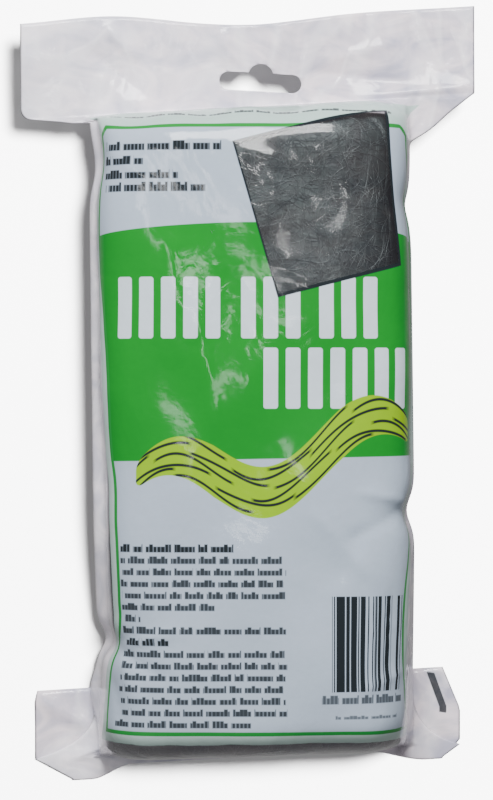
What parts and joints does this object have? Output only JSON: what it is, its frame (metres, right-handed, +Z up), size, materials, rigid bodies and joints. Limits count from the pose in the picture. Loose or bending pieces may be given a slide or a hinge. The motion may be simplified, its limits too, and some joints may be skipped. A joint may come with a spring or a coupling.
{
  "type": "pack of steel wool",
  "caption": "Soft retail pack of fine steel wool: a folded wool ribbon in a clear printed film tube, with a hang-slot header and a tail folded under the back.",
  "frame": {"origin": "middle of the pack's footprint on the surface it lies on, under its back", "axes": "+Z up out of the printed front, +Y along the pack towards the header with the hang slot, +X to the right of the front seen from above"},
  "size_m": [0.1772, 0.3058, 0.0605],
  "materials": {
    "film": "thin glossy clear film, printed white and green over most of the front",
    "wool": "fine tangled steel fibre"
  },
  "bodies": {
    "root": {"film_bag": "film", "steel_wool": "wool"}
  },
  "joints": []
}
